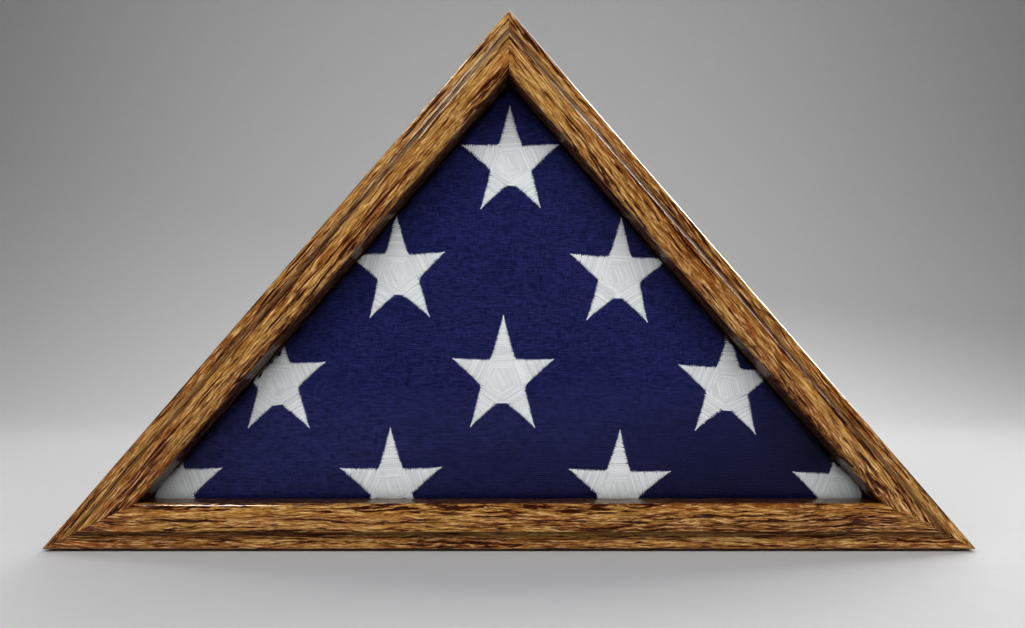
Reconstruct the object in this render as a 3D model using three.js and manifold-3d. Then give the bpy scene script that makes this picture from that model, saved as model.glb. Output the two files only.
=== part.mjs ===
// Triangular oak display case holding a folded flag, seen from the front as a wide low triangle.
//
// The case is drawn in a face frame (x to the right, y up, z towards the viewer) and stood up at the
// end, so that the front looks along -Y. All sizes are millimetres.
//
// Three straight members run round the triangle, counter-clockwise seen from the front: base, right
// and left. Each has its own frame: x along its outer edge, y inwards across its width, z forwards.

import * as THREE from 'three';
import { mergeVertices } from 'three/addons/utils/BufferGeometryUtils.js';
import Module from 'manifold-3d';

const wasm = await Module();
wasm.setup();

// Driving dimensions
const caseWidth = 720;
const baseAngle = THREE.MathUtils.degToRad(49.1);
const woodDepth = 92;
const gap = 0.3;

// Face frame: the moulding that is seen from the front. A share is how far in a point lies, from the
// rail's outer edge at 0 to its inner edge at 1, and a drop is how far it lies behind the front.
const faceThickness = 26;
const baseFace = 36;
const sideFace = 32.5;
const roundOverDrop = 5.5;
const roundOverPull = 1.2;
const bandInnerShare = 0.86;
const bandInnerDrop = 0.7;
const crownShare = 0.64;
const crownRise = 0.6;
const bandOuterShare = 0.42;
const bandOuterDrop = 0.5;
const arrisShare = 0.4;
const arrisDrop = 1.2;
const filletShare = 0.17;
const filletDrop = 5.4;
const edgeShare = 0.07;
const edgeDrop = 2.6;

// Box behind it
const boardThickness = 18;
const rabbetLand = 10;
const panelThickness = 4.8;
const panelClearance = 0.8;

// Glazing
const glassThickness = 2.5;
const stopWidth = 8;
const stopDepth = 10;

// Folded flag
const flagInset = 29;
const flagCornerCut = 30;
const flagApexCut = 16;
const flagClearance = 1;

// Fixings
const buttonLength = 34;
const buttonWidth = 8.6;
const buttonThickness = 2;
const screwHeadRadius = 3.6;
const screwHeadHeight = 1.6;
const shankRadius = 1.4;
const shankLength = 14;
const shankTaper = 2;
const shankTipShare = 0.5;
const headShoulderShare = 0.85;
const headShoulderRise = 0.7;
const bradRadius = 0.7;
const bradPoint = 1;
const bradReach = 9;
const bradHeadRadius = 1.6;
const bradHeadHeight = 0.8;
const splineWidth = 14;
const splineThickness = 3;
const splineBackInset = 4;
const splineFrontInset = 8;
const vnailDepth = 12;
const vnailThickness = 1.1;
const vnailHalfSpan = 5;
const feltThickness = 1.6;
const feltInset = 14;
const cutPast = 1;

// Worked out from the above
const apexAngle = Math.PI - 2 * baseAngle;
const caseHeight = (caseWidth / 2) * Math.tan(baseAngle);
const fixingDepth = 2 * gap + buttonThickness + screwHeadHeight;
const front = (woodDepth + fixingDepth) / 2;
const faceBack = front - faceThickness;
const back = front - woodDepth;
const rabbetDepth = panelThickness + 2 * gap;
const glassBack = faceBack - gap - glassThickness;
const panelFront = back + gap + panelThickness;

const materials = {
  oak: { color: 0x96693a, roughness: 0.35, metalness: 0 },
  plywood: { color: 0xb9935f, roughness: 0.7, metalness: 0 },
  glass: { color: 0xe6efee, roughness: 0.03, metalness: 0, transparent: true, opacity: 0.2 },
  cotton: { color: 0x15183a, roughness: 0.9, metalness: 0 },
  felt: { color: 0x1d2a20, roughness: 1, metalness: 0 },
  brass: { color: 0xb08d3e, roughness: 0.35, metalness: 1 },
  steel: { color: 0x8d9094, roughness: 0.4, metalness: 1 },
};

// The three corners and the members between them
const corners = {
  left: new THREE.Vector2(-caseWidth / 2, 0),
  right: new THREE.Vector2(caseWidth / 2, 0),
  apex: new THREE.Vector2(0, caseHeight),
};
const members = [
  member('base', corners.left, corners.right, baseAngle, baseAngle, baseFace, sideFace, sideFace),
  member('right', corners.right, corners.apex, baseAngle, apexAngle, sideFace, baseFace, sideFace),
  member('left', corners.apex, corners.left, apexAngle, baseAngle, sideFace, sideFace, baseFace),
];

// startFace and endFace are the face widths of the members that meet this one at its two ends.
function member(name, start, end, startAngle, endAngle, face, startFace, endFace) {
  const along = end.clone().sub(start);
  return {
    name,
    start,
    angle: along.angle(),
    length: along.length(),
    face,
    faceRuns: [mitreRun(startAngle, face, startFace), mitreRun(endAngle, face, endFace)],
    boardRuns: [mitreRun(startAngle, 1, 1), mitreRun(endAngle, 1, 1)],
  };
}

// How far a mitre runs along a member for each millimetre across it.
function mitreRun(angle, ownWidth, otherWidth) {
  return (ownWidth / Math.tan(angle) + otherWidth / Math.sin(angle)) / ownWidth;
}

// Manifold solids for the pieces that are cut

function solidOf(geometry) {
  const bare = geometry.clone();
  bare.deleteAttribute('normal');
  bare.deleteAttribute('uv');
  const merged = mergeVertices(bare, 1e-4);
  return new wasm.Manifold(new wasm.Mesh({
    numProp: 3,
    vertProperties: new Float32Array(merged.attributes.position.array),
    triVerts: new Uint32Array(merged.index.array),
  }));
}

function carve(geometry, cutters) {
  const whole = solidOf(geometry);
  const cut = cutters.reduce((solid, cutter) => solid.subtract(solidOf(cutter)), whole);
  const { vertProperties, triVerts } = cut.getMesh();
  const result = new THREE.BufferGeometry();
  result.setAttribute('position', new THREE.BufferAttribute(vertProperties, 3));
  result.setIndex(new THREE.BufferAttribute(triVerts, 1));
  result.computeVertexNormals();
  return result;
}

// Shapes

function rectangle(x0, y0, x1, y1) {
  return new THREE.Shape([
    new THREE.Vector2(x0, y0),
    new THREE.Vector2(x1, y0),
    new THREE.Vector2(x1, y1),
    new THREE.Vector2(x0, y1),
  ]);
}

function extrude(shape, z0, z1, curveSegments = 5) {
  const geometry = new THREE.ExtrudeGeometry(shape, { depth: z1 - z0, bevelEnabled: false, curveSegments });
  return geometry.translate(0, 0, z0);
}

// A section drawn across a member (x inwards, y forwards), run along it between two mitres.
function mitredBar(section, length, [startRun, endRun]) {
  const geometry = extrude(section, 0, 1);
  const position = geometry.attributes.position;
  const startGap = (gap / 2) * Math.hypot(1, startRun);
  const endGap = (gap / 2) * Math.hypot(1, endRun);
  for (let i = 0; i < position.count; i += 1) {
    const across = position.getX(i);
    const forwards = position.getY(i);
    const x0 = across * startRun + startGap;
    const x1 = length - across * endRun - endGap;
    position.setXYZ(i, THREE.MathUtils.lerp(x0, x1, position.getZ(i)), across, forwards);
  }
  return geometry;
}

// The case's triangle, moved in by baseInset at the bottom and sideInset at the two slopes.
function insetTriangle(baseInset, sideInset) {
  const sideShift = sideInset / Math.sin(baseAngle);
  const halfWidth = caseWidth / 2 - sideShift - baseInset / Math.tan(baseAngle);
  return [
    new THREE.Vector2(-halfWidth, baseInset),
    new THREE.Vector2(halfWidth, baseInset),
    new THREE.Vector2(0, caseHeight - sideShift * Math.tan(baseAngle)),
  ];
}

// A triangle whose corners are cut off by round noses; each cut is measured along the edges.
function bluntTriangle(points, cuts) {
  const shape = new THREE.Shape();
  points.forEach((corner, i) => {
    const before = points[(i + 2) % 3];
    const after = points[(i + 1) % 3];
    const arrive = corner.clone().sub(before).setLength(cuts[i]);
    const leave = after.clone().sub(corner).setLength(cuts[i]);
    const from = corner.clone().sub(arrive);
    const to = corner.clone().add(leave);
    if (i === 0) shape.moveTo(from.x, from.y);
    else shape.lineTo(from.x, from.y);
    shape.quadraticCurveTo(corner.x, corner.y, to.x, to.y);
  });
  return shape;
}

// The moulding's section, from the inner edge outwards: a large round-over, a crowned band, an arris,
// a cove that drops to a low fillet, and the rounded outer edge.
function faceSection(width) {
  const at = (share) => share * width;
  const section = new THREE.Shape();
  section.moveTo(0, faceBack);
  section.lineTo(at(1), faceBack);
  section.lineTo(at(1), front - roundOverDrop);
  section.quadraticCurveTo(at(1), front - roundOverPull, at(bandInnerShare), front - bandInnerDrop);
  section.quadraticCurveTo(at(crownShare), front + crownRise, at(bandOuterShare), front - bandOuterDrop);
  section.quadraticCurveTo(at(arrisShare), front - bandOuterDrop, at(arrisShare), front - arrisDrop);
  section.absellipse(at(filletShare), front - arrisDrop, at(arrisShare - filletShare),
    filletDrop - arrisDrop, 0, -Math.PI / 2, true, 0);
  section.lineTo(at(edgeShare), front - filletDrop);
  section.quadraticCurveTo(0, front - filletDrop, 0, front - filletDrop - edgeDrop);
  return section;
}

function boardSection() {
  return new THREE.Shape([
    new THREE.Vector2(0, back),
    new THREE.Vector2(rabbetLand, back),
    new THREE.Vector2(rabbetLand, back + rabbetDepth),
    new THREE.Vector2(boardThickness, back + rabbetDepth),
    new THREE.Vector2(boardThickness, faceBack - gap),
    new THREE.Vector2(0, faceBack - gap),
  ]);
}

// A V of bent strip, symmetrical about x with its tip forwards.
function vnailShape(thickness, halfSpan) {
  const tip = thickness / 2;
  return new THREE.Shape([
    new THREE.Vector2(tip, 0),
    new THREE.Vector2(tip - halfSpan, halfSpan),
    new THREE.Vector2(-tip - halfSpan, halfSpan),
    new THREE.Vector2(-tip, 0),
    new THREE.Vector2(-tip - halfSpan, -halfSpan),
    new THREE.Vector2(tip - halfSpan, -halfSpan),
  ]);
}

function splineShape(extra) {
  const x = splineThickness / 2 + extra;
  const y = splineWidth / 2 + extra;
  return rectangle(-x, -y, x, y);
}

// Corner keys. Each sits astride a mitre, a set distance in from the case's outer corner.

const splineRange = [back + rabbetDepth + splineBackInset, faceBack - splineFrontInset];
const vnailRange = [faceBack + gap, faceBack + vnailDepth];
const keyDistance = { left: 24, right: 24, apex: 16 };
const vnailDistance = { left: 45, right: 45, apex: 28 };
const cornersOf = { base: ['left', 'right'], right: ['right', 'apex'], left: ['apex', 'left'] };

// A cutter, drawn about its key's centre, moved to the two mitred ends of a member.
function keySlots(bar, runs, distances, makeCutter) {
  return cornersOf[bar.name].map((corner, end) => {
    const mitreAngle = Math.atan(1 / runs[end]);
    const cutter = makeCutter().translate(distances[corner], 0, 0);
    return end === 0
      ? cutter.rotateZ(mitreAngle)
      : cutter.rotateZ(Math.PI - mitreAngle).translate(bar.length, 0, 0);
  });
}

function cornerKey(name, geometry, material, corner, bar, runs, distances) {
  const direction = bar.angle + Math.atan(1 / runs[0]);
  const key = mesh(name, geometry, material);
  key.rotation.z = direction;
  key.position.set(corners[corner].x, corners[corner].y, 0);
  key.translateX(distances[corner]);
  return key;
}

// Fixings, drawn on the z axis or along y

function screwSolid() {
  const top = -buttonThickness - 2 * gap;
  const profile = [
    [0, shankLength],
    [shankRadius * shankTipShare, shankLength],
    [shankRadius, shankLength - shankTaper],
    [shankRadius, top],
    [screwHeadRadius, top],
    [screwHeadRadius * headShoulderShare, top - screwHeadHeight * headShoulderRise],
    [0, top - screwHeadHeight],
  ];
  const points = profile.map(([x, y]) => new THREE.Vector2(x, y)).reverse();
  return new THREE.LatheGeometry(points, 12).rotateX(Math.PI / 2);
}

function bradSolid() {
  const headSeat = boardThickness + gap + stopWidth + gap;
  const tip = boardThickness - bradReach;
  const profile = [
    [0, tip],
    [bradRadius, tip + bradPoint],
    [bradRadius, headSeat],
    [bradHeadRadius, headSeat],
    [bradHeadRadius, headSeat + bradHeadHeight],
    [0, headSeat + bradHeadHeight],
  ];
  return new THREE.LatheGeometry(profile.map(([x, y]) => new THREE.Vector2(x, y)), 8);
}

function bradHole() {
  const reach = boardThickness + stopWidth + 2 * cutPast;
  return new THREE.CylinderGeometry(bradRadius + gap, bradRadius + gap, reach, 8)
    .translate(0, reach / 2 + boardThickness - bradReach - gap, 0);
}

// A flat bar with round ends, turning on a hole near one of them.
function buttonShape() {
  const r = buttonWidth / 2;
  const shape = new THREE.Shape();
  shape.absarc(0, 0, r, Math.PI / 2, Math.PI * 1.5, false);
  shape.absarc(buttonLength - buttonWidth, 0, r, -Math.PI / 2, Math.PI / 2, false);
  const hole = new THREE.Path();
  hole.absarc(0, 0, shankRadius + gap, 0, Math.PI * 2, true);
  shape.holes.push(hole);
  return shape;
}

// Where the two fixings on each member lie along it, and which way each turn button is parked
const fixingShares = [0.3, 0.7];
const parkedBackwards = { base: [true, false], right: [true, true], left: [false, false] };
const bradZ = glassBack - gap - stopDepth / 2;
const screwAcross = rabbetLand / 2;

// Meshes

function mesh(name, geometry, material) {
  const result = new THREE.Mesh(geometry, new THREE.MeshStandardMaterial(materials[material]));
  result.name = name;
  return result;
}

function faceRail(bar) {
  const rail = mitredBar(faceSection(bar.face), bar.length, bar.faceRuns);
  const outline = vnailShape(vnailThickness + 4 * gap, vnailHalfSpan + gap);
  const slot = () => extrude(outline, faceBack - cutPast, faceBack + vnailDepth + gap);
  const slots = keySlots(bar, bar.faceRuns, vnailDistance, slot);
  return mesh(`face_rail_${bar.name}`, carve(rail, slots), 'oak');
}

function boxBoard(bar) {
  const board = mitredBar(boardSection(), bar.length, bar.boardRuns);
  const slot = () => extrude(splineShape(gap), splineRange[0] - gap, splineRange[1] + gap);
  const slots = keySlots(bar, bar.boardRuns, keyDistance, slot);
  const screwHoles = fixingShares.map((share) =>
    new THREE.CylinderGeometry(shankRadius + gap, shankRadius + gap, shankLength + 2 * cutPast, 12)
      .rotateX(Math.PI / 2)
      .translate(share * bar.length, screwAcross, back + shankLength / 2));
  const bradHoles = fixingShares.map((share) => bradHole().translate(share * bar.length, 0, bradZ));
  return mesh(`box_board_${bar.name}`, carve(board, [...slots, ...screwHoles, ...bradHoles]), 'oak');
}

function glassStop(bar) {
  const outer = boardThickness + gap;
  const section = rectangle(outer, glassBack - gap - stopDepth, outer + stopWidth, glassBack - gap);
  const strip = mitredBar(section, bar.length, bar.boardRuns);
  const holes = fixingShares.map((share) => bradHole().translate(share * bar.length, 0, bradZ));
  return mesh(`glass_stop_${bar.name}`, carve(strip, holes), 'oak');
}

function brads(bar) {
  return fixingShares.map((share, i) => {
    const brad = mesh(`stop_brad_${bar.name}_${i + 1}`, bradSolid(), 'steel');
    brad.position.set(share * bar.length, 0, bradZ);
    return brad;
  });
}

// The turn buttons are parked along the board, clear of the panel.
function turnButtons(bar) {
  return fixingShares.flatMap((share, i) => {
    const plate = extrude(buttonShape(), back - gap - buttonThickness, back - gap, 8);
    const button = mesh(`turn_button_${bar.name}_${i + 1}`, plate, 'brass');
    const screw = mesh(`button_screw_${bar.name}_${i + 1}`, screwSolid(), 'brass');
    button.position.set(share * bar.length, screwAcross, 0);
    button.rotation.z = parkedBackwards[bar.name][i] ? Math.PI : 0;
    screw.position.set(share * bar.length, screwAcross, back);
    return [button, screw];
  });
}

function memberGroup(bar) {
  const group = new THREE.Group();
  group.position.set(bar.start.x, bar.start.y, 0);
  group.rotation.z = bar.angle;
  group.add(faceRail(bar), boxBoard(bar), glassStop(bar), ...brads(bar), ...turnButtons(bar));
  return group;
}

function cornerKeys(bar) {
  const corner = cornersOf[bar.name][0];
  const spline = extrude(splineShape(0), ...splineRange);
  const vnail = extrude(vnailShape(vnailThickness, vnailHalfSpan), ...vnailRange);
  return [
    cornerKey(`corner_spline_${corner}`, spline, 'oak', corner, bar, bar.boardRuns, keyDistance),
    cornerKey(`corner_vnail_${corner}`, vnail, 'steel', corner, bar, bar.faceRuns, vnailDistance),
  ];
}

function glassPane() {
  const inset = boardThickness + 2 * gap;
  const outline = new THREE.Shape(insetTriangle(inset, inset));
  return mesh('glass_pane', extrude(outline, glassBack, faceBack - gap), 'glass');
}

function foldedFlag() {
  const cuts = [flagCornerCut, flagCornerCut, flagApexCut];
  const outline = bluntTriangle(insetTriangle(flagInset, flagInset), cuts);
  const range = [panelFront + flagClearance, glassBack - flagClearance];
  return mesh('folded_flag', extrude(outline, ...range, 4), 'cotton');
}

function backPanel() {
  const inset = rabbetLand + panelClearance;
  const outline = new THREE.Shape(insetTriangle(inset, inset));
  return mesh('back_panel', extrude(outline, back + gap, panelFront), 'plywood');
}

function baseFelt() {
  const halfWidth = caseWidth / 2 - feltInset;
  const outline = rectangle(-halfWidth, -gap - feltThickness, halfWidth, -gap);
  return mesh('base_felt', extrude(outline, back + feltInset, front - feltInset), 'felt');
}

const standing = new THREE.Group();
standing.rotation.x = Math.PI / 2;
standing.position.z = feltThickness + gap;
members.forEach((bar) => standing.add(memberGroup(bar), ...cornerKeys(bar)));
standing.add(glassPane(), foldedFlag(), backPanel(), baseFelt());

const flagCase = new THREE.Group();
flagCase.add(standing);

export default flagCase;
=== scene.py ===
"""Folded flag display case: the looks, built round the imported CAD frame. Metres, +Z up, front along -Y."""

import math
import random
from types import SimpleNamespace

import bpy
from mathutils import Matrix, Vector
from mathutils.bvhtree import BVHTree
from mathutils.noise import noise as value_noise

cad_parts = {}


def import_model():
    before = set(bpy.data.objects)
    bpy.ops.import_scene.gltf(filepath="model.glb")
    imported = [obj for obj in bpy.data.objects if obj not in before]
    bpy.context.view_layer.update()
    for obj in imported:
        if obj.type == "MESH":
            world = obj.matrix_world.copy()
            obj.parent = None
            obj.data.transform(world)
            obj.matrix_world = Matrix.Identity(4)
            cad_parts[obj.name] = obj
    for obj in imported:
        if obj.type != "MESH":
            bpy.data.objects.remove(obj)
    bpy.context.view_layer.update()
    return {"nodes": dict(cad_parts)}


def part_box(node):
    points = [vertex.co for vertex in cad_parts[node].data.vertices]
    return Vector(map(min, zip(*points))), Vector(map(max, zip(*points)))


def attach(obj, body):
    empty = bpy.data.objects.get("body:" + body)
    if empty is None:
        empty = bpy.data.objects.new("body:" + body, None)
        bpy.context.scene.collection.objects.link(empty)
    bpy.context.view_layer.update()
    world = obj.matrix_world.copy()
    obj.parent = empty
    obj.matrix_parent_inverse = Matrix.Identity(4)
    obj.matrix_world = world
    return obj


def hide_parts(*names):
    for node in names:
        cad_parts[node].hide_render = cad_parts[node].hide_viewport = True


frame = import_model()

# ---------------------------------------------------------------- driving dimensions

MM = 0.001
CASE_WIDTH = 720 * MM
BASE_ANGLE = math.radians(49.1)
APEX_ANGLE = math.pi - 2 * BASE_ANGLE
SIDE_FACE = 32.5 * MM
BOARD_THICKNESS = 18 * MM
RABBET_LAND = 10 * MM
PANEL_CLEARANCE = 0.8 * MM
STOP_GAP = 0.3 * MM
FLAG_INSET = 29 * MM
BUTTON_LENGTH = 34 * MM
BUTTON_WIDTH = 8.6 * MM
BUTTON_POINTS = 72
SCREW_HEAD_RADIUS = 3.6 * MM
SHANK_RADIUS = 1.4 * MM
FIXING_SHARES = (0.3, 0.7)
HEAD_GAP = 0.3 * MM
MITRE_GAP = 0.05 * MM
END_EASE = 0.2 * MM
BAR_STEP = 6 * MM
PARKED_BACKWARDS = {"base": (True, False), "right": (True, True), "left": (False, False)}

# Depths are counted forwards, so they are minus the row's y.
rail_low, rail_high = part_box("face_rail_base")
board_low, board_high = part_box("box_board_base")
stop_low, stop_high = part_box("glass_stop_base")
FRONT = -rail_low.y
FACE_BACK = -rail_high.y
BOARD_FRONT = -board_low.y
BACK = -board_high.y
BASE_Z = rail_low.z
BASE_FACE = rail_high.z - rail_low.z
RABBET_DEPTH = -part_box("back_panel")[0].y + STOP_GAP - BACK


# ---------------------------------------------------------------- members of the triangle

def mitre_run(angle, own_width, other_width):
    """How far a mitre runs along a member for each metre across it."""
    return (own_width / math.tan(angle) + other_width / math.sin(angle)) / own_width


def member(name, start, end, start_angle, end_angle, face, start_face, end_face):
    """One straight side of the case; its own frame is x along, y inwards and z forwards."""
    along = (end - start).normalized()
    matrix = Matrix((
        (along.x, -along.y, 0, start.x),
        (0, 0, -1, 0),
        (along.y, along.x, 0, start.y + BASE_Z),
        (0, 0, 0, 1),
    ))
    return SimpleNamespace(
        name=name,
        matrix=matrix,
        length=(end - start).length,
        face=face,
        face_runs=(mitre_run(start_angle, face, start_face), mitre_run(end_angle, face, end_face)),
        board_runs=(mitre_run(start_angle, 1, 1), mitre_run(end_angle, 1, 1)),
    )


CASE_HEIGHT = CASE_WIDTH / 2 * math.tan(BASE_ANGLE)
left_corner = Vector((-CASE_WIDTH / 2, 0))
right_corner = Vector((CASE_WIDTH / 2, 0))
apex = Vector((0, CASE_HEIGHT))
MEMBERS = (
    member("base", left_corner, right_corner, BASE_ANGLE, BASE_ANGLE, BASE_FACE, SIDE_FACE, SIDE_FACE),
    member("right", right_corner, apex, BASE_ANGLE, APEX_ANGLE, SIDE_FACE, BASE_FACE, SIDE_FACE),
    member("left", apex, left_corner, APEX_ANGLE, BASE_ANGLE, SIDE_FACE, SIDE_FACE, BASE_FACE),
)


# ---------------------------------------------------------------- outlines and meshes

def bend(start, control, end, steps):
    """Points along a quadratic curve, without its first one."""
    points = []
    for i in range(1, steps + 1):
        t = i / steps
        points.append(tuple(
            (1 - t) ** 2 * a + 2 * t * (1 - t) * b + t * t * c for a, b, c in zip(start, control, end)))
    return points


def moved_in(points, distance):
    """A closed anticlockwise outline, moved inwards by a distance."""
    moved = []
    for i, point in enumerate(points):
        before = (Vector(point) - Vector(points[i - 1])).normalized()
        after = (Vector(points[(i + 1) % len(points)]) - Vector(point)).normalized()
        normal = Vector((-before.y - after.y, before.x + after.x)).normalized()
        spread = max(0.35, normal.dot(Vector((-before.y, before.x))))
        moved.append(tuple(Vector(point) + normal * (distance / spread)))
    return moved


def rounded(corners, radii, steps):
    """A polygon whose corners are rounded; each radius is measured along the edges."""
    points = []
    for i, corner in enumerate(corners):
        corner = Vector(corner)
        before = (corner - Vector(corners[i - 1])).normalized() * radii[i]
        after = (Vector(corners[(i + 1) % len(corners)]) - corner).normalized() * radii[i]
        points.append(tuple(corner - before))
        points += bend(corner - before, corner, corner + after, steps)
    return points


def inset_triangle(inset):
    """The case's triangle moved in by the same distance on its three sides, as (x, z)."""
    side_shift = inset / math.sin(BASE_ANGLE)
    half_width = CASE_WIDTH / 2 - side_shift - inset / math.tan(BASE_ANGLE)
    top = CASE_HEIGHT - side_shift * math.tan(BASE_ANGLE)
    return [(-half_width, inset + BASE_Z), (half_width, inset + BASE_Z), (0, top + BASE_Z)]


def new_piece(name, verts, faces, material, matrix=None, sharp_angle=32):
    """A mesh object; its own coordinates are kept as the attribute "grain" before matrix places it."""
    mesh = bpy.data.meshes.new(name)
    mesh.from_pydata(verts, [], faces)
    mesh.validate()
    mesh.shade_smooth()
    mesh.set_sharp_from_angle(angle=math.radians(sharp_angle))
    mesh.materials.append(material)
    grain = mesh.attributes.new("grain", "FLOAT_VECTOR", "POINT")
    grain.data.foreach_set("vector", [c for vertex in mesh.vertices for c in vertex.co])
    if matrix is not None:
        mesh.transform(matrix)
    piece = bpy.data.objects.new(name, mesh)
    bpy.context.scene.collection.objects.link(piece)
    return piece


def tube_faces(ring_count, ring_size, closed_ends=True):
    """Faces of a tube of rings; the rings run anticlockwise seen from the end they lead to."""
    faces = []
    for k in range(ring_count - 1):
        here = k * ring_size
        there = here + ring_size
        for i in range(ring_size):
            j = (i + 1) % ring_size
            faces.append((here + i, here + j, there + j, there + i))
    if closed_ends:
        last = (ring_count - 1) * ring_size
        faces.append(tuple(reversed(range(ring_size))))
        faces.append(tuple(range(last, last + ring_size)))
    return faces


def mitred_bar(name, section, bar, runs, material):
    """A section (inwards, forwards) run along a member between its mitres, with eased ends."""
    count = round(bar.length / BAR_STEP)
    eased = moved_in(section, END_EASE)
    rings = [(eased, 0.0, 0.0)]
    rings += [(section, i / count, END_EASE) for i in range(count + 1)]
    rings += [(eased, 1.0, 0.0)]
    verts = []
    for outline, share, ease in rings:
        for across, forwards in outline:
            x0 = across * runs[0] + MITRE_GAP + ease
            x1 = bar.length - across * runs[1] - MITRE_GAP - ease
            verts.append((x0 + (x1 - x0) * share, across, forwards))
    return new_piece(name, verts, tube_faces(len(rings), len(section)), material, bar.matrix)


def slab(outline, y_low, y_high, edge):
    """A flat piece with an (x, z) outline; edge is a list of (inset, share of the thickness)."""
    verts = []
    for inset, share in edge:
        y = y_high + (y_low - y_high) * share
        ring = moved_in(outline, inset) if inset else outline
        verts += [(x, y, z) for x, z in ring]
    return verts, tube_faces(len(edge), len(outline))


def eased_edge(ease, thickness):
    """A slab's edge with both its arrises eased."""
    share = ease / thickness
    upper = [(ease, 0), (ease * 0.3, share * 0.3), (0, share)]
    return upper + [(inset, 1 - depth) for inset, depth in reversed(upper)]


# ---------------------------------------------------------------- materials

def rgb(red, green, blue):
    """An sRGB colour, 0 to 255, as linear RGBA."""
    linear = []
    for value in (red, green, blue):
        c = value / 255
        linear.append(c / 12.92 if c <= 0.04045 else ((c + 0.055) / 1.055) ** 2.4)
    return (*linear, 1)


class Graph:
    """A material's nodes, with a short call for each kind that the materials use."""

    def __init__(self, name):
        self.material = bpy.data.materials.new(name)
        self.material.use_nodes = True
        self.nodes = self.material.node_tree.nodes
        self.links = self.material.node_tree.links
        self.nodes.clear()
        self.output = self.nodes.new("ShaderNodeOutputMaterial")

    def plug(self, socket, value):
        if isinstance(value, bpy.types.NodeSocket):
            self.links.new(value, socket)
        else:
            socket.default_value = value

    def node(self, kind, inputs=(), **settings):
        node = self.nodes.new("ShaderNode" + kind)
        for key, value in settings.items():
            setattr(node, key, value)
        for key, value in dict(inputs).items():
            self.plug(node.inputs[key], value)
        return node

    def place(self, along_grain=False):
        """Where the shaded point is, in metres; along_grain gives the piece's own frame."""
        if along_grain:
            return self.node("Attribute", attribute_name="grain").outputs["Vector"]
        return self.node("TexCoord").outputs["Object"]

    def stretched(self, place, scale, shift=(0, 0, 0)):
        """A place scaled, in repeats of a noise for each metre, and shifted."""
        mapping = self.node("Mapping", {"Vector": place, "Scale": scale, "Location": shift})
        return mapping.outputs[0]

    def noise(self, place, detail=2.0, roughness=0.5, distortion=0.0):
        inputs = {
            "Vector": place,
            "Scale": 1.0,
            "Detail": detail,
            "Roughness": roughness,
            "Distortion": distortion,
        }
        return self.node("TexNoise", inputs).outputs[0]

    def math(self, operation, a, b=0.0):
        return self.node("Math", {0: a, 1: b}, operation=operation).outputs[0]

    def step(self, value, low, high):
        """0 below low, 1 above high, smooth between."""
        inputs = {"Value": value, "From Min": low, "From Max": high}
        return self.node("MapRange", inputs, interpolation_type="SMOOTHSTEP").outputs[0]

    def mix(self, share, a, b):
        node = self.node("Mix", data_type="RGBA")
        self.plug(node.inputs[0], share)
        self.plug(node.inputs[6], a)
        self.plug(node.inputs[7], b)
        return node.outputs[2]

    def tint(self, colour, mask, strength, other):
        """The colour, taken towards another by a strength where the mask is 1."""
        return self.mix(self.math("MULTIPLY", mask, strength), colour, other)

    def bump(self, height, distance):
        return self.node("Bump", {"Height": height, "Distance": distance, "Strength": 1.0}).outputs[0]

    def axis(self, place, name):
        return self.node("SeparateXYZ", {0: place}).outputs[name]

    def finish(self, **inputs):
        """The material, with one principled shader that has these inputs."""
        named = {key.replace("_", " "): value for key, value in inputs.items()}
        shader = self.node("BsdfPrincipled", named)
        self.links.new(shader.outputs[0], self.output.inputs["Surface"])
        return self.material


VARNISH = 0.9


def oak_flow(g, place, slant, wander):
    """The place with its grain's sway taken out, so that a noise on it follows the grain."""
    along = g.axis(place, "X")
    across = g.math("ADD", g.axis(place, "Y"), g.math("MULTIPLY", g.axis(place, "Z"), 0.6))
    across = g.math("ADD", across, g.math("MULTIPLY", along, slant))
    sway = g.math("SUBTRACT", g.noise(g.stretched(place, (9, 30, 30))), 0.5)
    wobble = g.math("SUBTRACT", g.noise(g.stretched(place, (60, 160, 160))), 0.5)
    across = g.math("ADD", across, g.math("MULTIPLY", sway, 12 * MM * wander))
    across = g.math("ADD", across, g.math("MULTIPLY", wobble, 3.2 * MM * wander))
    return g.node("CombineXYZ", {"X": along, "Y": across, "Z": g.axis(place, "Z")}).outputs[0]


def oak_pores(g, flow, streak, open_grain):
    """Masks for the dark pores and fine flecks, gathered in loose rows, and for the stain round them."""
    rows = g.noise(g.stretched(flow, (9, 260, 120), (1.3, 0.2, 0.9)))
    rows = g.math("MULTIPLY", g.math("SUBTRACT", rows, 0.5), 0.5)
    pores = g.noise(g.stretched(flow, (streak, 720, 300)), detail=3, roughness=0.62)
    pores = g.math("ADD", pores, g.math("MULTIPLY", rows, open_grain))
    flecks = g.noise(g.stretched(flow, (streak * 2.4, 1500, 600), (3.1, 1.7, 0.4)), roughness=0.6)
    flecks = g.step(g.math("ADD", flecks, g.math("MULTIPLY", rows, 0.3)), 0.56, 0.68)
    dark = g.math("MAXIMUM", g.step(pores, 0.545, 0.615), g.math("MULTIPLY", flecks, 0.85))
    return dark, g.step(pores, 0.5, 0.58)


def moulding_painted_shade(g, own, face, colour):
    """Painted shade in a moulding's cove and on its inner side, and the cove's duller gloss."""
    share = g.math("DIVIDE", g.axis(own, "Y"), face)
    cove = g.math("MULTIPLY", g.step(share, 0.2, 0.36), g.step(share, 0.43, 0.4))
    side = g.step(g.axis(own, "Z"), FRONT - 3 * MM, FRONT - 7 * MM)
    inner = g.math("MULTIPLY", side, g.step(share, 0.9, 1.0))
    painted_shade = g.math("MAXIMUM", g.math("MULTIPLY", cove, 0.6), g.math("MULTIPLY", inner, 0.75))
    # painted shade: dark brown laid into the cove and down the inner side, where shadow falls
    colour = g.mix(painted_shade, colour, rgb(52, 24, 8))
    dull = g.math("MULTIPLY", g.step(share, 0.13, 0.2), g.step(share, 0.42, 0.39))
    return colour, g.math("SUBTRACT", VARNISH, g.math("MULTIPLY", dull, 0.85))


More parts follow.
